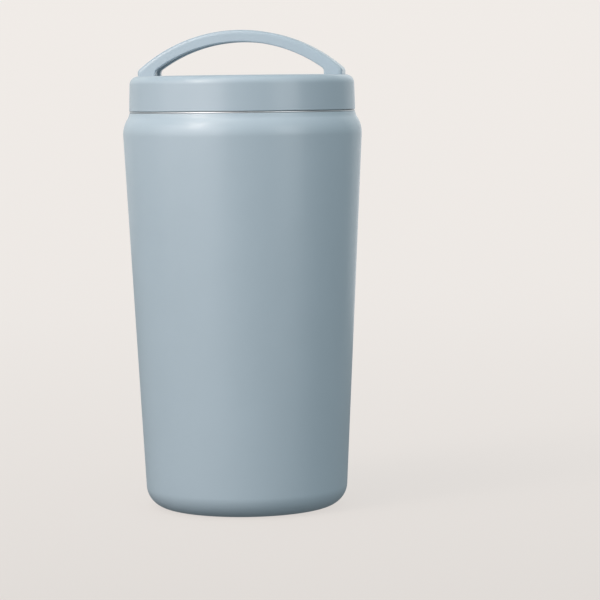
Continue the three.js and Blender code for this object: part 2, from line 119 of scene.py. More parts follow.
class CupSizes(PropertyGroup):
    """Sizes of the double-wall cup."""

    shoulder_radius: length("Shoulder radius", "Widest radius of the cup", SHELL_HIGH.x)
    shoulder_height: length("Shoulder height", "Height of the widest point", 153.2 * MM)
    base_radius: length("Base radius", "Where the tapered wall would meet the floor", 41.0 * MM)
    base_round: length("Base rounding", "Rounding between wall and foot", 9.0 * MM)
    shoulder_round: length("Shoulder rounding", "Outward rounding above the wall", 11.6 * MM)
    flare_round: length("Flare rounding", "Hollow rounding that leads up to the lid", 5.4 * MM)
    shell_wall: length("Shell wall", "Thickness of the outer steel", 0.5 * MM)
    foot_width: length("Foot width", "Flat ring that the cup stands on", 3.4 * MM)
    rim_round: length("Rim rounding", "Coating rounded over the shell's edges", 0.22 * MM)
    lip_height: length("Lip height", "Bare steel above the coated shell", VESSEL_HIGH.z - SHELL_HIGH.z)
    lip_width: length("Lip width", "From the lip's outer face to the mouth", 2.7 * MM)
    vessel_wall: length("Vessel wall", "Thickness of the inner steel", 0.4 * MM)
    vacuum_gap: length("Vacuum gap", "Between the shell and the vessel", 3.6 * MM)
    vessel_round: length("Vessel rounding", "Rounding of the vessel's floor", 8.0 * MM)
    mouth_depth: length("Mouth depth", "Threaded mouth, from the lip to the ledge", 15.1 * MM)
    ledge_width: length("Ledge width", "Sealing ledge under the thread", 3.0 * MM)
    ledge_height: length("Ledge height", "Fall of the sealing ledge", 2.4 * MM)


class ThreadSizes(PropertyGroup):
    """Sizes of the two-start screw thread."""

    lead: length("Lead", "Rise of a ridge in one turn", 10.0 * MM)
    height: length("Ridge height", "From root to crest", 1.3 * MM)
    root_width: length("Root width", "Width of a ridge at its foot", 2.0 * MM)
    crest_width: length("Crest width", "Width of a ridge at its crest", 1.0 * MM)
    ridge_turn: turn("Ridge turn", "How far round one ridge runs", 240)
    ramp: turn("Ramp", "Run-out at each end of a ridge", 15)
    ridge_start: length("Ridge start", "Height of a mouth ridge's low end", 152.27 * MM)
    lid_offset: length("Lid offset", "How far the lid's ridges start below the mouth's", 1.8 * MM)


class LidSizes(PropertyGroup):
    """Sizes of the lid's cover, plug and sealing ring."""

    skirt_radius: length("Skirt radius", "Outer radius of the cover's skirt", COVER_HIGH.x)
    draft: length("Draft", "How much the skirt narrows towards the top", 0.3 * MM)
    edge_round: length("Edge rounding", "Rounding of the cover's upper edge", 3.45 * MM)
    cover_wall: length("Cover wall", "Thickness of the cover", 2.2 * MM)
    seam_round: length("Seam rounding", "Rounding of the skirt's lower edge", 0.2 * MM)
    seam_drop: length("Seam drop", "How far the skirt closes down over the seam", 0.18 * MM)
    snap_depth: length("Snap depth", "Inward lip that holds the plug", 0.8 * MM)
    flange_thickness: length("Flange thickness", "Flange that the cover snaps over", 2.4 * MM)
    plug_radius: length("Plug radius", "Root of the plug's thread", GASKET_HIGH.x)
    plug_wall: length("Plug wall", "Thickness of the plug's tube and floor", 1.8 * MM)
    groove_depth: length("Groove depth", "Ring groove, below the thread's root", 2.8 * MM)
    retainer_radius: length("Retainer radius", "Lip under the sealing ring", 39.9 * MM)


class HandleSizes(PropertyGroup):
    """Sizes of the carry handle."""

    thickness: length("Thickness", "At the top of the arch", 4.8 * MM)
    leg_width: length("Leg width", "Width of a leg where it meets the lid", 7.4 * MM)
    corner_height: length("Corner height", "Where the legs turn into the arch, above the lid", 2.3 * MM)
    outer_bend: length("Outer bend", "Rounding of the outer corner", 1.8 * MM)
    inner_bend: length("Inner bend", "Rounding of the inner corner", 2.0 * MM)
    edge_round: length("Edge rounding", "Rounding along the outer edges", 1.5 * MM)
    inner_round: length("Inner edge rounding", "Rounding along the edges of the underside", 0.45 * MM)
    channel_width: length("Channel width", "Groove along the underside", 8.0 * MM)
    channel_depth: length("Channel depth", "Depth of that groove", 1.5 * MM)
    lid_gap: length("Lid gap", "Between the legs and the lid", 0.06 * MM)


class Finishes(PropertyGroup):
    """Colours of the finishes."""

    coating: colour("Coating", "Powder coat on the cup", (0.371, 0.455, 0.513))
    plastic: colour("Plastic", "Lid and handle", (0.358, 0.439, 0.497))
    steel: colour("Steel", "Bare stainless steel", (0.74, 0.75, 0.76))
    silicone: colour("Silicone", "Sealing ring", (0.70, 0.72, 0.72))
    foam: colour("Foam", "Filling of the plug", (0.81, 0.79, 0.73))
    foil: colour("Foil", "Copper foil in the vacuum", (0.72, 0.38, 0.24))
    glass: colour("Solder glass", "Bead that closes the pump hole", (0.07, 0.068, 0.065))
    alloy: colour("Getter alloy", "Tablet that keeps the vacuum", (0.19, 0.19, 0.20))
    backdrop: colour("Backdrop", "Floor and walls of the stage", (0.14, 0.135, 0.13))


class StageSizes(PropertyGroup):
    """Camera and stage."""

    camera_distance: length("Camera distance", "From the cup's axis", 1.055)
    camera_height: length("Camera height", "Above the floor", 0.1699)
    camera_turn: turn("Camera turn", "Round the cup, towards the handle's near end", 8.0)
    camera_yaw: turn("Camera yaw", "Swing of the view to the side", 1.234)
    camera_pitch: turn("Camera pitch", "Tilt of the view, downwards if negative", -4.632)
    camera_roll: turn("Camera roll", "Tilt of the horizon", 0.646)
    lens: FloatProperty(name="Lens", description="Focal length", default=154.35, min=1, unit="CAMERA")
    sensor: FloatProperty(name="Sensor", description="Sensor width", default=36.0, min=1, unit="CAMERA")
    floor_radius: length("Floor radius", "Flat part of the stage", 0.9)
    sweep_radius: length("Sweep radius", "Curve between floor and wall", 2.1)
    wall_height: length("Wall height", "Height of the stage's wall above the curve", 1.0)


# ---- surfaces -----------------------------------------------------------------------------------


def arc(centre_r, centre_z, radius, start, end, steps):
    """Points of a circular arc: centre plus radius times the cosine and sine of evenly spaced angles."""
    angle = np.linspace(start, end, steps + 1)
    return np.column_stack([centre_r + radius * np.cos(angle), centre_z + radius * np.sin(angle)])


def unit(vectors):
    """Vectors divided by their own lengths."""
    size = np.linalg.norm(vectors, axis=1, keepdims=True)
    return vectors / np.maximum(size, TINY)


def rounded(corners):
    """Outline through corners given as (radius, height, rounding).

    A corner with a rounding becomes a curve that leaves and meets its two sides at that distance from
    it: a quadratic blend of the point on the first side, the corner and the point on the second side.
    """
    data = np.array(corners, float)
    place, cut = data[:, :2], data[:, 2]
    before = unit(np.roll(place, 1, axis=0) - place)
    after = unit(np.roll(place, -1, axis=0) - place)
    t = np.linspace(0, 1, CORNER_STEPS + 1)[None, :, None]
    first = (place + before * cut[:, None])[:, None, :]
    last = (place + after * cut[:, None])[:, None, :]
    curve = first * (1 - t) ** 2 + place[:, None, :] * 2 * t * (1 - t) + last * t**2
    return np.concatenate([c if size > 0 else p[None, :] for c, p, size in zip(curve, place, cut)])


def supported(outline, closed):
    """Outline with two more points on each long side, one support length from either end.

    A point moves along its side by the side's unit vector times the support length.
    """
    following = np.roll(outline, -1, axis=0)
    if not closed:
        following[-1] = outline[-1]
    side = following - outline
    step = unit(side) * SUPPORT
    is_long = np.linalg.norm(side, axis=1) > LONG_SIDE
    points = np.stack([outline, outline + step, following - step], axis=1)
    return points[np.column_stack([np.ones_like(is_long), is_long, is_long])]


def swung(outline, segments):
    """Each point (radius, height) of an outline, swung round Z row after row.

    A vertex is (radius cos a, radius sin a, height), with a in equal steps.
    """
    angle = np.arange(segments) * (2 * math.pi / segments)
    x = outline[:, :1] * np.cos(angle)
    y = outline[:, :1] * np.sin(angle)
    z = np.repeat(outline[:, 1:], segments, axis=1)
    return np.stack([x, y, z], axis=-1).reshape(-1, 3)


def turned(outline):
    """Closed surface of revolution of an anticlockwise outline, by the formula of swung.

    An outline that starts and ends on the axis closes there in two poles, with a fan of triangles round
    each. Any other outline is joined end to start.
    """
    segments = TURNED_SEGMENTS
    poles = outline[0, 0] == 0 and outline[-1, 0] == 0
    outline = supported(outline, closed=not poles)
    rings = outline[1:-1] if poles else outline
    points = swung(rings, segments)
    quads = grid_faces(len(rings), segments, wrap_rows=not poles)
    if not poles:
        return points, [quads]
    ends = np.array([[0, 0, outline[0, 1]], [0, 0, outline[-1, 1]]])
    low_pole, high_pole = len(points), len(points) + 1
    this = np.arange(segments)
    following = (this + 1) % segments
    top_row = (len(rings) - 1) * segments
    bottom = np.column_stack([np.full(segments, low_pole), following, this])
    top = np.column_stack([top_row + this, top_row + following, np.full(segments, high_pole)])
    return np.concatenate([points, ends]), [quads, bottom, top]


def grid_faces(rows, columns, wrap_rows=False):
    """Quads between neighbours in a grid of vertices, row after row. Each row closes on itself."""
    row = np.arange(rows if wrap_rows else rows - 1)[:, None]
    column = np.arange(columns)[None, :]
    next_row = (row + 1) % rows
    next_column = (column + 1) % columns
    corners = [
        row * columns + column,
        row * columns + next_column,
        next_row * columns + next_column,
        next_row * columns + column,
    ]
    return np.stack(corners, axis=-1).reshape(-1, 4)


def capped_sweep(grid):
    """Closed surface over a grid of shape (stations, ring points, 3), with a flat cap at each end."""
    stations, ring = grid.shape[:2]
    caps = [np.arange(ring)[None, ::-1], (stations - 1) * ring + np.arange(ring)[None, :]]
    return grid.reshape(-1, 3), [grid_faces(stations, ring), *caps]


def joined(*parts):
    """Several surfaces as one: vertices end to end, with each surface's faces counted on."""
    points, faces, offset = [], [], 0
    for vertices, groups in parts:
        points.append(vertices)
        faces += [group + offset for group in groups]
        offset += len(vertices)
    return np.concatenate(points), faces


def enclosed_volume(mesh):
    """Volume inside a closed mesh, from the triple products of its triangles. Negative if inside out."""
    mesh.calc_loop_triangles()
    corners = np.empty(len(mesh.loop_triangles) * 3, np.int64)
    mesh.loop_triangles.foreach_get("vertices", corners)
    places = np.empty(len(mesh.vertices) * 3)
    mesh.vertices.foreach_get("co", places)
    a, b, c = places.reshape(-1, 3)[corners.reshape(-1, 3)].transpose(1, 0, 2)
    return float(np.einsum("ij,ij->", a, np.cross(b, c)) / 6)


# ---- materials ----------------------------------------------------------------------------------

FINISHES = {}  # the object's finishes by slot, once they are made
NOISE_RANGE = (0.3, 0.7)  # nearly all of a noise lies between these

# The stage's own glow: painted light that stands in for the studio light on its floor and wall, brighter
# further from a centre in front of the cup
PAINTED_LIGHT_CENTRE = (0.0, -0.6, 0.0)
PAINTED_LIGHT_AT_METRE = 0.718  # strength a metre from that centre
PAINTED_LIGHT_GROWTH = 0.09  # growth with the logarithm of the distance
PAINTED_LIGHT_TINT = (1.0, 0.944, 0.903)


def set_range(node, source, target):
    """Sets a range node to map one pair of numbers onto another."""
    for end, (low, high) in (("From", source), ("To", target)):
        node.inputs[f"{end} Min"].default_value = low
        node.inputs[f"{end} Max"].default_value = high


class Nodes:
    """Short hand for building one material's node tree."""

    def __init__(self, name):
        self.material = bpy.data.materials.new(name)
        self.material.use_nodes = True
        self.tree = self.material.node_tree
        self.shader = self.tree.nodes["Principled BSDF"]
        self.position = self.add("ShaderNodeTexCoord").outputs["Object"]

    def add(self, kind, **settings):
        """A new node with its own settings."""
        node = self.tree.nodes.new(kind)
        for key, value in settings.items():
            setattr(node, key, value)
        return node

    def link(self, source, target):
        """Joins an output to an input."""
        self.tree.links.new(source, target)

    def noise(self, scale, detail=2.0, roughness=0.5, stretch=(1, 1, 1)):
        """Noise on object coordinates, per metre, stretched along the axes."""
        mapping = self.add("ShaderNodeMapping")
        mapping.inputs["Scale"].default_value = stretch
        self.link(self.position, mapping.inputs["Vector"])
        noise = self.add("ShaderNodeTexNoise")
        noise.inputs["Scale"].default_value = scale
        noise.inputs["Detail"].default_value = detail
        noise.inputs["Roughness"].default_value = roughness
        self.link(mapping.outputs["Vector"], noise.inputs["Vector"])
        return noise.outputs["Fac"]

    def spread(self, noise, low, high):
        """Maps a noise's usual range onto another range."""
        node = self.add("ShaderNodeMapRange")
        set_range(node, NOISE_RANGE, (low, high))
        self.link(noise, node.inputs["Value"])
        return node.outputs["Result"]

    def sum(self, first, second, weight):
        """First plus weight times second."""
        node = self.add("ShaderNodeMath", operation="MULTIPLY_ADD")
        node.inputs[1].default_value = weight
        self.link(second, node.inputs[0])
        self.link(first, node.inputs[2])
        return node.outputs["Value"]

    def mottle(self, noise, base, darker, lighter):
        """Base colour that wanders between a darker and a lighter tint."""
        node = self.add("ShaderNodeMix", data_type="RGBA")
        node.inputs["A"].default_value = (*tinted(base, darker), 1)
        node.inputs["B"].default_value = (*tinted(base, lighter), 1)
        self.link(self.spread(noise, 0, 1), node.inputs["Factor"])
        self.link(node.outputs["Result"], self.shader.inputs["Base Color"])

    def gloss(self, noise, smooth, rough):
        """Roughness that wanders between two values."""
        self.link(self.spread(noise, smooth, rough), self.shader.inputs["Roughness"])

    def bump(self, relief, depth):
        """Relief of a depth in metres on the surface."""
        node = self.add("ShaderNodeBump")
        node.inputs["Distance"].default_value = depth
        self.link(relief, node.inputs["Height"])
        self.link(node.outputs["Normal"], self.shader.inputs["Normal"])

    def set(self, **values):
        """Constants on the shader's own sockets."""
        for key, value in values.items():
            self.shader.inputs[key.replace("_", " ")].default_value = value


def tinted(base, factor):
    """A colour made lighter or darker."""
    return tuple(min(1.0, channel * factor) for channel in base)


def powder_coat(base):
    """Satin powder coat: a fine pebbled skin, faint mottling, and an even soft gloss."""
    n = Nodes("satin_powder_coat")
    n.mottle(n.noise(38, detail=3), base, 0.985, 1.015)
    n.gloss(n.noise(240, detail=3), 0.39, 0.45)
    pebbles = n.sum(n.noise(1500, detail=2), n.noise(4200, detail=1), 0.5)
    n.bump(pebbles, 0.006 * MM)
    n.set(Coat_Weight=0.5, Coat_Roughness=0.22)
    return n.material


def moulded_plastic(base):
    """Satin moulded plastic with the fine spark texture of its mould."""
    n = Nodes("satin_plastic")
    n.mottle(n.noise(30, detail=2), base, 0.99, 1.01)
    n.gloss(n.noise(500, detail=2), 0.39, 0.45)
    n.bump(n.noise(3600, detail=2), 0.003 * MM)
    n.set(Coat_Weight=0.5, Coat_Roughness=0.22)
    return n.material


def spun_steel(base, smooth, rough):
    """Stainless steel with the fine rings that turning and polishing leave round the axis."""
    n = Nodes("spun_steel")
    rings = n.noise(900, detail=4, roughness=0.7, stretch=(0.02, 0.02, 1))
    n.mottle(n.noise(60, detail=3), base, 0.94, 1.04)
    n.gloss(rings, smooth, rough)
    n.bump(rings, 0.004 * MM)
    n.set(Metallic=1.0)
    return n.material


def plain_finish(name, base, metallic, smooth, rough, grain, depth):
    """A simple finish: slight mottling and a grain of the given size per metre and depth."""
    n = Nodes(name)
    n.mottle(n.noise(80), base, 0.93, 1.05)
    relief = n.noise(grain, detail=3)
    n.gloss(relief, smooth, rough)
    n.bump(relief, depth)
    n.set(Metallic=metallic)
    return n.material


def silicone(base):
    """Milky silicone rubber, dull and a little see-through."""
    n = Nodes("milky_silicone")
    n.mottle(n.noise(120), base, 0.97, 1.03)
    n.gloss(n.noise(900), 0.5, 0.62)
    n.bump(n.noise(2500), 0.004 * MM)
    n.set(Subsurface_Weight=0.35, Subsurface_Scale=1.5 * MM, Subsurface_Radius=(1.0, 0.9, 0.8))
    return n.material


def backdrop(base):
    """Matte painted stage with a glow of its own, which is painted light standing in for the studio light
    on its floor and wall.

    The glow is its strength at a metre plus the growth times the natural logarithm of the distance.
    """
    n = Nodes("backdrop")
    n.mottle(n.noise(1.5), base, 0.995, 1.005)
    distance = n.add("ShaderNodeVectorMath", operation="DISTANCE")
    distance.inputs[1].default_value = PAINTED_LIGHT_CENTRE
    n.link(n.position, distance.inputs[0])
    logarithm = n.add("ShaderNodeMath", operation="LOGARITHM")
    logarithm.inputs[1].default_value = math.e
    n.link(distance.outputs["Value"], logarithm.inputs[0])
    # painted light: the emission brightens the stage away from its centre in place of studio light
    # falling on it
    painted_glow = n.add("ShaderNodeMath", operation="MULTIPLY_ADD")
    painted_glow.inputs[1].default_value = PAINTED_LIGHT_GROWTH
    painted_glow.inputs[2].default_value = PAINTED_LIGHT_AT_METRE
    n.link(logarithm.outputs["Value"], painted_glow.inputs[0])
    n.link(painted_glow.outputs["Value"], n.shader.inputs["Emission Strength"])
    n.set(Roughness=0.9, Specular_IOR_Level=0.1, Emission_Color=(*PAINTED_LIGHT_TINT, 1))
    return n.material


def make_finishes(colours):
    """Every finish of the object, by its slot's name."""
    plating = tinted(colours.steel, 0.85)
    return {
        "powder_coat": powder_coat(colours.coating),
        "moulded_plastic": moulded_plastic(colours.plastic),
        "bare_steel": spun_steel(colours.steel, 0.30, 0.42),
        "screw_steel": plain_finish("plated_steel", plating, 1.0, 0.28, 0.42, 1800, 0.006 * MM),
        "silicone": silicone(colours.silicone),
        "white_foam": plain_finish("expanded_foam", colours.foam, 0.0, 0.9, 1.0, 700, 0.25 * MM),
        "copper_foil": plain_finish("bright_foil", colours.foil, 1.0, 0.12, 0.28, 220, 0.12 * MM),
        "solder_glass": plain_finish("fused_glass", colours.glass, 0.0, 0.08, 0.2, 300, 0.05 * MM),
        "getter_alloy": plain_finish("sintered_alloy", colours.alloy, 0.8, 0.5, 0.75, 1500, 0.03 * MM),
    }


def finish_for(slot):
    """The finish of a slot. The set is made the first time it is asked for."""
    if not FINISHES:
        FINISHES.update(make_finishes(bpy.context.scene.tumbler_finishes))
    return FINISHES[slot]


# ---- outlines of the turned pieces --------------------------------------------------------------

RING_ROOM = 0.3 * MM  # clearance of the sealing ring in its groove


class CupProfile:
    """The cup's section, worked out from its sizes as tangent lines and arcs.

    A rounding's centre lies one rounding radius from the wall's slanting line, square to it. The flare's
    arc touches the shoulder's where the line between their two centres crosses both.
    """

    def __init__(self, cup):
        self.cup = cup
        self.slope = math.atan((cup.shoulder_radius - cup.base_radius) / cup.shoulder_height)
        setback = cup.base_round * (1 / math.cos(self.slope) - math.tan(self.slope))
        self.base_centre = cup.base_radius - setback
        self.foot_inner = self.base_centre - cup.foot_width
        start = cup.shoulder_height - cup.shoulder_round * math.sin(self.slope)
        self.shoulder_centre = self.wall_radius(start) - cup.shoulder_round * math.cos(self.slope)
        self.neck_radius = VESSEL_HIGH.x
        self.flare_centre = self.neck_radius + cup.flare_round
        across = self.flare_centre - self.shoulder_centre
        self.flare_angle = math.acos(across / (cup.shoulder_round + cup.flare_round))
        self.lip_top = VESSEL_HIGH.z
        self.shell_top = SHELL_HIGH.z
        self.mouth_radius = self.neck_radius - cup.lip_width
        self.ledge_top = self.lip_top - cup.mouth_depth

    def wall_radius(self, height):
        """Radius of the tapered wall: it grows with height along a straight line."""
        return self.cup.base_radius + height * math.tan(self.slope)

    def vessel_radius(self, height, inset):
        """The same line, moved square to itself by the shell, the vacuum and an inset."""
        offset = self.cup.shell_wall + self.cup.vacuum_gap + inset
        return self.wall_radius(height) - offset / math.cos(self.slope)

    def side(self, inset, steps):
        """Base rounding, shoulder and flare up to the rim, set in by an inset square to the wall."""
        cup = self.cup
        base = arc(self.base_centre, cup.base_round, cup.base_round - inset, -QUARTER, -self.slope, steps)
        height, radius = cup.shoulder_height, cup.shoulder_round - inset
        shoulder = arc(self.shoulder_centre, height, radius, -self.slope, self.flare_angle, steps)
        height += (cup.shoulder_round + cup.flare_round) * math.sin(self.flare_angle)
        start, end = math.pi + self.flare_angle, math.pi
        flare = arc(self.flare_centre, height, cup.flare_round + inset, start, end, steps)[1:]
        flare_end = self.shell_top - 1.5 * cup.rim_round  # leaves room for the rounded rim
        return np.concatenate([base, shoulder, flare[flare[:, 1] < flare_end]])


def shell_outline(profile):
    """Coated shell: foot edge, outer side up, rounded rim, and inner side down to the flat foot ring."""
    cup = profile.cup
    rim = cup.rim_round
    foot_edge = arc(profile.foot_inner + rim, rim, rim, 2 * QUARTER, 3 * QUARTER, 4)
    outside = profile.side(inset=0, steps=20)
    top_edge = arc(profile.neck_radius - rim, profile.shell_top - rim, rim, 0, QUARTER, 5)
    inner_top = [[profile.neck_radius - cup.shell_wall, profile.shell_top]]
    inside = profile.side(inset=cup.shell_wall, steps=10)[::-1]
    inner_foot = [[profile.foot_inner, cup.shell_wall]]
    return np.concatenate([foot_edge, outside, top_edge, inner_top, inside, inner_foot])


def foot_plate_outline(wall):
    """Base plate: a foot ring level with the shell's, a recess and a dimple round the pump hole."""
    rim = BASE_HIGH.x
    plate = rim - 1.6 * MM  # where the plate turns down to its foot ring
    recess = 1.6 * MM
    dimple, dimple_depth = 6.5 * MM, 1.8 * MM
    dimple_floor = dimple - dimple_depth  # the dimple's side slants at 45 degrees
    hole = 1.2 * MM
    soft = 0.35 * MM
    lean = wall / 2  # the upper face turns this much further out, and the foot ring's side slants by it
    return rounded([
        (hole, recess + dimple_depth, 0),
        (dimple_floor, recess + dimple_depth, soft),
        (dimple, recess, soft),
        (plate, recess, soft),
        (plate + lean, 0, soft / 2),
        (rim, 0, soft / 2),
        (rim, recess + wall, soft / 2),
        (dimple + lean, recess + wall, soft),
        (dimple_floor + lean, recess + dimple_depth + wall, soft),
        (hole, recess + dimple_depth + wall, 0),
    ])


def foot_disc_outline():
    """Cover disc: flat, with most of its lower edge rounded over."""
    radius, low, high = CAP_HIGH.x, CAP_LOW.z, CAP_HIGH.z
    edge = (high - low) * 0.8
    bottom = arc(radius - edge, low + edge, edge, -QUARTER, 0, 6)
    return np.concatenate([[[0, low]], bottom, [[radius, high], [0, high]]])


def vessel_side(profile, inset, throat, throat_top):
    """One face of the liner, from the middle of its floor up to the mouth.

    The inset is 0 on the outer face and the wall's thickness on the inner one. The slanting ledge keeps
    the wall's thickness: its outer corners lie lower by that thickness times a factor, which is the
    square root of one plus the slant squared, less the slant.
    """
    cup = profile.cup
    soft = 0.6 * MM
    throat_length, shoulder_length = 1.8 * MM, 8.0 * MM
    shoulder_round = 2.5 * MM
    lip_room = 2.0 * MM  # the mouth's face stops this far below the lip's top
    throat_bottom = throat_top - throat_length
    taper_top = throat_bottom - shoulder_length
    floor = VESSEL_LOW.z + inset
    bend_round = cup.vessel_round - inset
    bend_height = floor + bend_round
    centre = profile.vessel_radius(bend_height, inset) - bend_round / math.cos(profile.slope)
    bend = arc(centre, bend_height, bend_round, -QUARTER, -profile.slope, 12)
    outward = cup.vessel_wall - inset
    slant = cup.ledge_height / cup.ledge_width
    drop = outward * (math.hypot(1, slant) - slant)
    mouth = profile.mouth_radius + outward
    corners = rounded([
        (*bend[-1], 0),
        (profile.vessel_radius(taper_top, inset), taper_top, shoulder_round),
        (throat + outward, throat_bottom, soft),
        (throat + outward, throat_top - drop, soft),
        (mouth, profile.ledge_top - drop, soft),
        (mouth, profile.lip_top - lip_room, 0),
    ])
    return np.concatenate([[[0, floor]], bend, corners[1:]])


def vessel_outline(profile):
    """Steel liner: floor, tapered side, throat, sealing ledge, threaded mouth and a rolled lip."""
    cup = profile.cup
    wall = cup.vessel_wall
    throat = profile.mouth_radius - cup.ledge_width
    throat_top = profile.ledge_top - cup.ledge_height
    bead = cup.lip_height / 2
    bead_height = profile.lip_top - bead
    bell = profile.mouth_radius + 0.8 * MM  # the mouth widens to this under the lip
    collar = profile.neck_radius - cup.shell_wall - 0.2 * MM  # fits inside the shell's neck
    lip_low = profile.lip_top - cup.lip_height
    collar_top = lip_low + 0.02 * MM  # just above the bead's underside
    under = [[bell + wall, lip_low - wall], [collar, lip_low - wall], [collar, collar_top]]
    outer_bead = arc(profile.neck_radius - bead, bead_height, bead, -QUARTER, QUARTER, 8)
    inner_bead = arc(bell + bead, bead_height, bead, QUARTER, 2 * QUARTER, 5)
    outside = vessel_side(profile, 0, throat, throat_top)
    inside = vessel_side(profile, wall, throat, throat_top)
    return np.concatenate([outside, under, outer_bead, inner_bead, inside[::-1]])


def cover_outline(lid):
    """Lid cover: a ceiling, snap lip, drafted skirt and rounded top edge, as one closed section."""
    low, high = COVER_LOW.z - lid.seam_drop, COVER_HIGH.z
    ceiling = high - lid.cover_wall
    bore = lid.skirt_radius - lid.cover_wall
    top_bore = bore - lid.draft
    snap = bore - lid.snap_depth
    snap_top, snap_edge = low + 0.9 * MM, low + 0.6 * MM
    chamfer, chamfer_round = 1.0 * MM, 0.5 * MM  # in the corner between ceiling and skirt
    inside = rounded([
        (top_bore - chamfer, ceiling, chamfer_round),
        (top_bore, ceiling - chamfer, chamfer_round),
        (bore, snap_top, 0),
        (snap, snap_edge, 0.15 * MM),
        (snap, low, 0.2 * MM),
    ])
    seam = lid.seam_round
    seam_edge = arc(lid.skirt_radius - seam, low + seam, seam, -QUARTER, 0, 5)
    edge = lid.edge_round
    flat_radius = lid.skirt_radius - lid.draft - edge
    top_edge = arc(flat_radius, high - edge, edge, 0, QUARTER, 16)
    flat = [[flat_radius * 0.97, high], [0, high]]  # the first point keeps the shading flat
    return np.concatenate([[[0, ceiling]], inside, seam_edge, top_edge, flat])


def plug_outline(lid):
    """Threaded plug: floor, retaining lip, ring groove, thread root, flange and the hollow inside."""
    low, high = PLUG_LOW.z, PLUG_HIGH.z
    groove = lid.plug_radius - lid.groove_depth
    bore = groove - lid.plug_wall
    floor = low + lid.plug_wall
    retainer_top = low + 2.0 * MM
    groove_top = GASKET_HIGH.z + RING_ROOM
    flange_low = high - lid.flange_thickness
    soft = 0.35 * MM
    corners = rounded([
        (lid.retainer_radius, low, 0.6 * MM),
        (lid.retainer_radius, retainer_top, soft),
        (groove, retainer_top, soft),
        (groove, groove_top, soft),
        (lid.plug_radius, groove_top, soft),
        (lid.plug_radius, flange_low, soft),
        (PLUG_HIGH.x, flange_low, soft),
        (PLUG_HIGH.x, high, soft),
        (bore, high, soft),
        (bore, floor, 0.8 * MM),
    ])
    return np.concatenate([[[0, low]], corners, [[0, floor]]])


def ring_outline(lid):
    """Sealing ring: its lower edge slants with the ledge, and a shallow notch runs round its outside."""
    low, high = GASKET_LOW.z, GASKET_HIGH.z
    inner, outer = lid.plug_radius - lid.groove_depth + RING_ROOM, lid.plug_radius
    lower_face = inner + 1.3 * MM
    shoulder = low + 1.05 * MM
    middle = (shoulder + high) / 2
    notch, notch_depth = 0.25 * MM, 0.45 * MM
    soft = 0.5 * MM
    return rounded([
        (inner, low, soft / 2),
        (lower_face, low, soft),
        (outer, shoulder, soft),
        (outer, middle - notch, 0.15 * MM),
        (outer - notch_depth, middle, 0.2 * MM),
        (outer, middle + notch, 0.15 * MM),
        (outer, high, soft),
        (inner, high, soft / 2),
    ])


# ---- thread -------------------------------------------------------------------------------------

RIDGE_STATIONS, RIDGE_POINTS = 180, 19  # along a ridge and across it
FOOT_SHARE, CREST_SHARE = 0.58, 0.36  # half widths of foot and crest, out of their set widths
END_SHARE = 0.05  # what is left of a ridge's height at its ends
SUNK, BURIED = 0.02 * MM, 0.15 * MM  # how deep the foot and the underside lie inside the wall


def smooth_step(t):
    """Three t squared less two t cubed, with t held between nought and one."""
    t = np.clip(t, 0, 1)
    return t * t * (3 - 2 * t)


def thread_ridge(thread, root, outward, low_end, start_angle):
    """One ridge of the screw thread, wound round Z.

    Along the ridge, the angle grows evenly and the height grows by one lead a turn. Across it, the
    distance off the root is a smooth step up and down again. Both ends fade out with the same step. The
    foot lies just inside the wall.
    """
    part = np.linspace(0, 1, RIDGE_STATIONS)
    angle = start_angle + thread.ridge_turn * part
    climb = thread.lead * (thread.ridge_turn / (2 * math.pi)) * part
    fade = smooth_step(np.minimum(part, 1 - part) * thread.ridge_turn / thread.ramp)
    fade = np.maximum(fade, END_SHARE)
    foot = thread.root_width * FOOT_SHARE
    crest = thread.crest_width * CREST_SHARE
    offset = np.linspace(-foot, foot, RIDGE_POINTS)
    rise = smooth_step((foot - np.abs(offset)) / (foot - crest)) * thread.height
    offset = np.concatenate([offset, [foot, -foot]])
    lift = np.concatenate([rise - SUNK, [-BURIED, -BURIED]])
    lift = np.where(lift > 0, lift * fade[:, None], lift)
    radius = root + outward * lift
    height = low_end + climb[:, None] + offset[None, :]
    x = radius * np.cos(angle)[:, None]
    y = radius * np.sin(angle)[:, None]
    grid = np.stack([x, y, height], axis=-1)
    return capped_sweep(grid if outward < 0 else grid[:, ::-1])


def with_thread(wall, thread, root, outward, low_end):
    """A turned wall with the thread's two ridges, half a turn apart."""
    ridges = [thread_ridge(thread, root, outward, low_end, start) for start in (0, math.pi)]
    return joined(wall, *ridges)


# ---- handle -------------------------------------------------------------------------------------

LEG_STEPS, BEND_STEPS, CROWN_STEPS = 4, 10, 40  # along half of the arch
OUTER, INNER = 0, 1  # the arch's two lines


def arch_line(half_span, bottom, corner, apex, bend):
    """Line of an arch in the XZ plane, from the right foot over the crown to the left foot.

    An upright leg, a bend of constant radius and one long arc, each tangent to the next. Returns points
    and outward normals; along the bend and the arc the normal's angle grows evenly.
    """
    rise = apex - corner
    crown = (half_span**2 + rise**2) / (2 * rise)
    crown_z = apex - crown
    bend_x = half_span - bend
    bend_z = crown_z + math.sqrt((crown - bend) ** 2 - bend_x**2)
    meet = math.atan2(bend_z - crown_z, bend_x)
    leg_z = np.linspace(bottom, bend_z, LEG_STEPS, endpoint=False)
    bend_angle = np.linspace(0, meet, BEND_STEPS, endpoint=False)
    crown_angle = np.linspace(meet, QUARTER, CROWN_STEPS + 1)
    half = np.concatenate([
        np.column_stack([np.full(LEG_STEPS, half_span), leg_z]),
        np.column_stack([bend_x + bend * np.cos(bend_angle), bend_z + bend * np.sin(bend_angle)]),
        np.column_stack([crown * np.cos(crown_angle), crown_z + crown * np.sin(crown_angle)]),
    ])
    angle = np.concatenate([np.zeros(LEG_STEPS), bend_angle, crown_angle])
    points = np.concatenate([half, half[-2::-1] * [-1, 1]])
    angle = np.concatenate([angle, math.pi - angle[-2::-1]])
    return points, np.column_stack([np.cos(angle), np.sin(angle)])


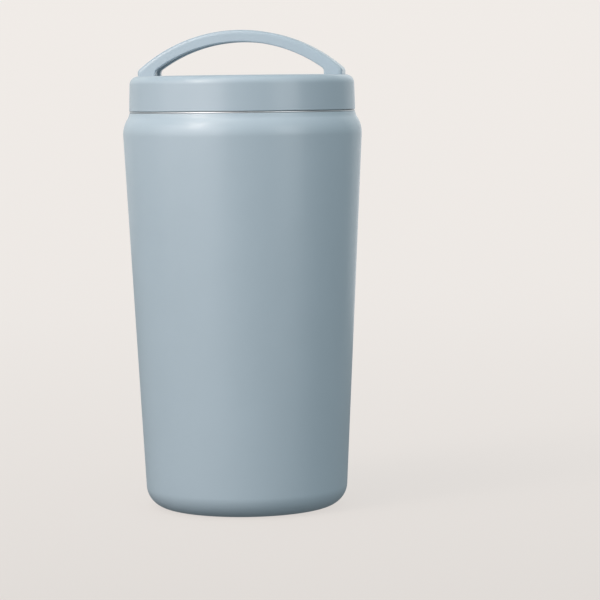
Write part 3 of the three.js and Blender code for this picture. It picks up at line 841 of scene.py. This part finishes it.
def quarter_round(line, into, across, radius, start, steps, sense=1):
    """Quarter circle in the handle's section, as columns of line, depth into the handle and width.

    The depth is the centre's less the radius times the sine, and the width is the centre's plus the
    radius times the cosine, of an angle that runs a quarter turn from the start, in the given sense.
    """
    angle = np.linspace(start, start + sense * QUARTER, steps + 1)
    return np.column_stack([
        np.full(steps + 1, line),
        into - radius * np.sin(angle),
        across + radius * np.cos(angle),
    ])


def handle_section(handle, half_depth):
    """Half of the handle's section, from the middle of its top to the middle of its channel.

    Columns: 0 on the outer line or 1 on the inner line, distance from that line into the handle, and
    distance from the middle plane. Edges are quarter circles. Beside each curve a flat side has a point
    one support length away.
    """
    top_round, low_round = handle.edge_round, handle.inner_round
    lip_round, floor_round = 0.35 * MM, 0.6 * MM
    edge = half_depth - top_round
    low_edge = half_depth - low_round
    channel = handle.channel_width / 2
    depth = handle.channel_depth
    lip = channel + lip_round
    floor = channel - floor_round
    return np.concatenate([
        [[OUTER, 0, 0], [OUTER, 0, edge / 2], [OUTER, 0, edge - SUPPORT]],
        quarter_round(OUTER, top_round, edge, top_round, QUARTER, 10, sense=-1),
        [[OUTER, top_round + SUPPORT, half_depth], [INNER, low_round + SUPPORT, half_depth]],
        quarter_round(INNER, low_round, low_edge, low_round, 0, 6),
        [[INNER, 0, low_edge - SUPPORT], [INNER, 0, lip + SUPPORT]],
        quarter_round(INNER, lip_round, lip, lip_round, QUARTER, 3),
        quarter_round(INNER, depth - floor_round, floor, floor_round, 0, 4, sense=-1),
        [[INNER, depth, floor - SUPPORT], [INNER, depth, 0]],
    ])


def handle_surface(handle):
    """The section carried along the arch.

    A vertex lies on the outer or the inner line, moved into the handle along that line's own normal, and
    off the middle plane by its place in the section.
    """
    half_span, half_depth, apex = HANDLE_HIGH
    foot = COVER_HIGH.z + handle.lid_gap
    corner = COVER_HIGH.z + handle.corner_height
    outer, outer_normal = arch_line(half_span, foot, corner, apex, handle.outer_bend)
    inner_span, inner_apex = half_span - handle.leg_width, apex - handle.thickness
    inner, inner_normal = arch_line(inner_span, foot, corner, inner_apex, handle.inner_bend)
    half = handle_section(handle, half_depth)
    mirrored = half[-2:0:-1] * [1, 1, -1]
    line, into, across = np.concatenate([half, mirrored]).T
    on_outer = outer[:, None, :] - outer_normal[:, None, :] * into[None, :, None]
    on_inner = inner[:, None, :] + inner_normal[:, None, :] * into[None, :, None]
    place = np.where(line[None, :, None] == OUTER, on_outer, on_inner)
    side = np.repeat(across[None, :], len(outer), axis=0)
    return capped_sweep(np.stack([place[..., 0], side, place[..., 1]], axis=-1))


# ---- stage --------------------------------------------------------------------------------------

STAGE_SEGMENTS = 128  # facets round the stage
STAGE_DROP = 0.05 * MM  # the floor lies this far below the cup's foot


def make_backdrop(stage, base):
    """Round stage: a flat floor, a quarter circle up to the wall, and a plain wall, swung round Z."""
    flat = stage.floor_radius
    curve = arc(flat, stage.sweep_radius, stage.sweep_radius, -QUARTER, 0, 24)
    wall_top = stage.sweep_radius + stage.wall_height
    outline = np.concatenate([[[flat * 0.01, 0]], curve, [[flat + stage.sweep_radius, wall_top]]])
    points = swung(outline - [0, STAGE_DROP], STAGE_SEGMENTS)
    inward = grid_faces(len(outline), STAGE_SEGMENTS)[:, ::-1]
    middle = list(range(STAGE_SEGMENTS))
    mesh = bpy.data.meshes.new("backdrop")
    mesh.from_pydata(points.tolist(), [], [*inward.tolist(), middle])
    mesh.shade_smooth()
    mesh.materials.append(backdrop(base))
    piece = bpy.data.objects.new("backdrop", mesh)
    bpy.context.scene.collection.objects.link(piece)
    piece.visible_diffuse = False  # the stage is seen and takes shadows, but lights nothing
    piece.visible_glossy = False


class StudioLight(NamedTuple):
    """An area light: its place round the tumbler, its size, its power and its colour."""

    name: str
    azimuth: float  # degrees from the camera's side, positive to the right
    elevation: float  # degrees above the floor
    width: float
    height: float
    watts: float
    tint: tuple


LIGHT_DISTANCE = 1.3  # metres from the tumbler's middle
WARM = (1.0, 0.88, 0.80)
SOFT_WARM = (1.0, 0.94, 0.94)
PLAIN = (1.0, 1.0, 1.0)
KEY_LIGHTS = (
    StudioLight("key_high", -48, 52, 0.8, 0.6, 3.7, WARM),
    StudioLight("key_low", -48, 35, 0.3, 0.5, 3.75, WARM),
)
FILL_LIGHTS = (
    StudioLight("left_front", -35, 15, 0.8, 0.9, 5.45, SOFT_WARM),
    StudioLight("left_side", -70, 15, 0.8, 0.9, 3.45, SOFT_WARM),
    StudioLight("left_back", -105, 15, 0.8, 0.9, 0.65, PLAIN),
    StudioLight("left_rim", -150, 15, 0.9, 0.9, 0.95, PLAIN),
    StudioLight("top", -30, 70, 0.8, 0.8, 1.2, SOFT_WARM),
    StudioLight("right_front", 45, 15, 0.6, 0.9, 3.45, PLAIN),
    StudioLight("right_high", 60, 60, 0.8, 0.8, 1.65, PLAIN),
    StudioLight("right_rim", 150, 12, 0.9, 0.9, 1.15, PLAIN),
    StudioLight("back_rim", 172, 12, 0.7, 0.9, 0.65, PLAIN),
)
SKY_ABOVE, SKY_BELOW = 0.57, 0.18  # strength
SKY_FADE = 0.3  # it fades between this sine of the angle below the horizon and the same above
SKY_TINT = (0.834, 0.955, 1.0)


def make_lights(camera_turn):
    """Soft area lights aimed at the tumbler's middle. The fill leaves the stage alone."""
    aim = (CAD_BOX[0] + CAD_BOX[1]) / 2
    spared = bpy.data.collections.new("spared_by_the_fill")
    spared.objects.link(bpy.data.objects["backdrop"])
    spared.collection_objects[0].light_linking.link_state = "EXCLUDE"
    for light in (*KEY_LIGHTS, *FILL_LIGHTS):
        data = bpy.data.lights.new(light.name, "AREA")
        data.shape = "RECTANGLE"
        data.size, data.size_y = light.width, light.height
        data.energy = light.watts
        data.color = light.tint
        lamp = bpy.data.objects.new(light.name, data)
        bpy.context.scene.collection.objects.link(lamp)
        azimuth = math.radians(light.azimuth) + camera_turn
        elevation = math.radians(light.elevation)
        level = math.cos(elevation)
        back = Vector((math.sin(azimuth) * level, -math.cos(azimuth) * level, math.sin(elevation)))
        lamp.location = aim + back * LIGHT_DISTANCE
        lamp.rotation_euler = back.to_track_quat("Z", "Y").to_euler()
        lamp.visible_camera = False
        if light in FILL_LIGHTS:
            lamp.light_linking.receiver_collection = spared


def make_sky():
    """Dim cool sky that fades from above to below the horizon."""
    world = bpy.data.worlds.new("studio")
    world.use_nodes = True
    tree = world.node_tree
    sky = tree.nodes["Background"]
    sky.inputs["Color"].default_value = (*SKY_TINT, 1)
    direction = tree.nodes.new("ShaderNodeTexCoord")
    split = tree.nodes.new("ShaderNodeSeparateXYZ")
    fade = tree.nodes.new("ShaderNodeMapRange")
    set_range(fade, (-SKY_FADE, SKY_FADE), (SKY_BELOW, SKY_ABOVE))
    tree.links.new(direction.outputs["Generated"], split.inputs["Vector"])
    tree.links.new(split.outputs["Z"], fade.inputs["Value"])
    tree.links.new(fade.outputs["Result"], sky.inputs["Strength"])
    bpy.context.scene.world = world


def make_camera(stage):
    """Long lens a little above the cup's shoulder, turned towards the handle's near end."""
    data = bpy.data.cameras.new("camera")
    data.lens = stage.lens
    data.sensor_width = stage.sensor
    camera = bpy.data.objects.new("camera", data)
    bpy.context.scene.collection.objects.link(camera)
    camera.matrix_world = (
        Matrix.Rotation(stage.camera_turn, 4, "Z")
        @ Matrix.Translation((0, -stage.camera_distance, stage.camera_height))
        @ Matrix.Rotation(-stage.camera_yaw, 4, "Z")
        @ Matrix.Rotation(stage.camera_pitch, 4, "X")
        @ Matrix.Rotation(stage.camera_roll, 4, "Y")
        @ Matrix.Rotation(QUARTER, 4, "X")
    )
    bpy.context.scene.camera = camera


# ---- operators ----------------------------------------------------------------------------------


def new_piece(name, surface, body, slot, stands_for):
    """Puts a closed surface into the scene as a piece that rides on a body and stands for a CAD node."""
    points, groups = surface
    faces = [face for group in groups for face in group.tolist()]
    mesh = bpy.data.meshes.new(name)
    mesh.from_pydata(points.tolist(), [], faces)
    mesh.update()
    if enclosed_volume(mesh) <= 0:
        raise RuntimeError(f"{name} is inside out")
    mesh.shade_smooth()
    mesh.set_sharp_from_angle(angle=SHARP_ANGLE)
    mesh.materials.append(finish_for(slot))
    piece = bpy.data.objects.new(name, mesh)
    bpy.context.scene.collection.objects.link(piece)
    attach(piece, body)
    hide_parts(stands_for)


class TUMBLER_OT_stage(Operator):
    """Floor and backdrop, lights, sky and camera"""

    bl_idname = "tumbler.stage"
    bl_label = "Stage"

    def execute(self, context):
        stage = context.scene.tumbler_stage
        make_backdrop(stage, context.scene.tumbler_finishes.backdrop)
        make_lights(stage.camera_turn)
        make_sky()
        make_camera(stage)
        context.scene.view_settings.view_transform = "Standard"
        return {"FINISHED"}


class TUMBLER_OT_coated_shell(Operator):
    """Powder-coated outer shell"""

    bl_idname = "tumbler.coated_shell"
    bl_label = "Coated shell"

    def execute(self, context):
        shell = turned(shell_outline(CupProfile(context.scene.tumbler_cup)))
        new_piece("coated_shell", shell, "cup", "powder_coat", "outer_shell")
        return {"FINISHED"}


class TUMBLER_OT_foot(Operator):
    """Base plate and its cover disc"""

    bl_idname = "tumbler.foot"
    bl_label = "Foot"

    def execute(self, context):
        plate = turned(foot_plate_outline(context.scene.tumbler_cup.shell_wall))
        new_piece("foot_plate", plate, "cup", "powder_coat", "outer_base")
        new_piece("foot_disc", turned(foot_disc_outline()), "cup", "bare_steel", "base_cap")
        return {"FINISHED"}


class TUMBLER_OT_vessel(Operator):
    """Steel liner with its rolled lip and thread"""

    bl_idname = "tumbler.vessel"
    bl_label = "Steel vessel"

    def execute(self, context):
        profile = CupProfile(context.scene.tumbler_cup)
        thread = context.scene.tumbler_thread
        wall = turned(vessel_outline(profile))
        vessel = with_thread(wall, thread, profile.mouth_radius, -1, thread.ridge_start)
        new_piece("steel_vessel", vessel, "cup", "bare_steel", "inner_vessel")
        return {"FINISHED"}


class TUMBLER_OT_lid(Operator):
    """Lid cover and threaded plug"""

    bl_idname = "tumbler.lid"
    bl_label = "Lid"

    def execute(self, context):
        lid = context.scene.tumbler_lid
        thread = context.scene.tumbler_thread
        new_piece("lid_shell", turned(cover_outline(lid)), "lid", "moulded_plastic", "lid_cover")
        low_end = thread.ridge_start - thread.lid_offset
        plug = with_thread(turned(plug_outline(lid)), thread, lid.plug_radius, 1, low_end)
        new_piece("lid_thread_plug", plug, "lid", "moulded_plastic", "lid_plug")
        return {"FINISHED"}


class TUMBLER_OT_sealing_ring(Operator):
    """Silicone sealing ring"""

    bl_idname = "tumbler.sealing_ring"
    bl_label = "Sealing ring"

    def execute(self, context):
        ring = turned(ring_outline(context.scene.tumbler_lid))
        new_piece("sealing_ring", ring, "lid_seal", "silicone", "lid_gasket")
        return {"FINISHED"}


class TUMBLER_OT_handle(Operator):
    """Arched carry handle"""

    bl_idname = "tumbler.handle"
    bl_label = "Carry handle"

    def execute(self, context):
        arch = handle_surface(context.scene.tumbler_handle)
        new_piece("handle_arch", arch, "lid", "moulded_plastic", "carry_handle")
        return {"FINISHED"}


class TUMBLER_OT_hidden_parts(Operator):
    """Finishes for the parts that stay as the frame has them"""

    bl_idname = "tumbler.hidden_parts"
    bl_label = "Hidden parts"

    def execute(self, context):
        slots = {
            "vacuum_seal": "solder_glass",
            "getter": "getter_alloy",
            "radiation_foil": "copper_foil",
            "lid_foam": "white_foam",
            "handle_clamp_left": "bare_steel",
            "handle_clamp_right": "bare_steel",
            **{f"handle_screw_{number}": "screw_steel" for number in range(1, 5)},
        }
        for node, slot in slots.items():
            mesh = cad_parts[node].data
            mesh.materials.clear()
            mesh.materials.append(finish_for(slot))
        return {"FINISHED"}


STEPS = (
    TUMBLER_OT_stage,
    TUMBLER_OT_coated_shell,
    TUMBLER_OT_foot,
    TUMBLER_OT_vessel,
    TUMBLER_OT_lid,
    TUMBLER_OT_sealing_ring,
    TUMBLER_OT_handle,
    TUMBLER_OT_hidden_parts,
)


class TUMBLER_PT_sidebar(Panel):
    """Lists the steps that build the tumbler"""

    bl_label = "Carry tumbler"
    bl_idname = "TUMBLER_PT_sidebar"
    bl_space_type = "VIEW_3D"
    bl_region_type = "UI"
    bl_category = "Tumbler"

    def draw(self, context):
        for step in STEPS:
            self.layout.operator(step.bl_idname)


GROUPS = {
    "tumbler_cup": CupSizes,
    "tumbler_thread": ThreadSizes,
    "tumbler_lid": LidSizes,
    "tumbler_handle": HandleSizes,
    "tumbler_finishes": Finishes,
    "tumbler_stage": StageSizes,
}


def register():
    """Registers the settings, then the steps and the panel."""
    for name, group in GROUPS.items():
        bpy.utils.register_class(group)
        setattr(bpy.types.Scene, name, PointerProperty(type=group))
    for step in (*STEPS, TUMBLER_PT_sidebar):
        bpy.utils.register_class(step)


def unregister():
    """Takes everything off again in the opposite order."""
    for step in reversed((*STEPS, TUMBLER_PT_sidebar)):
        bpy.utils.unregister_class(step)
    for name, group in reversed(GROUPS.items()):
        delattr(bpy.types.Scene, name)
        bpy.utils.unregister_class(group)


def main():
    """Builds everything in order."""
    register()
    bpy.ops.tumbler.stage()
    bpy.ops.tumbler.coated_shell()
    bpy.ops.tumbler.foot()
    bpy.ops.tumbler.vessel()
    bpy.ops.tumbler.lid()
    bpy.ops.tumbler.sealing_ring()
    bpy.ops.tumbler.handle()
    bpy.ops.tumbler.hidden_parts()


if __name__ == "__main__":
    main()
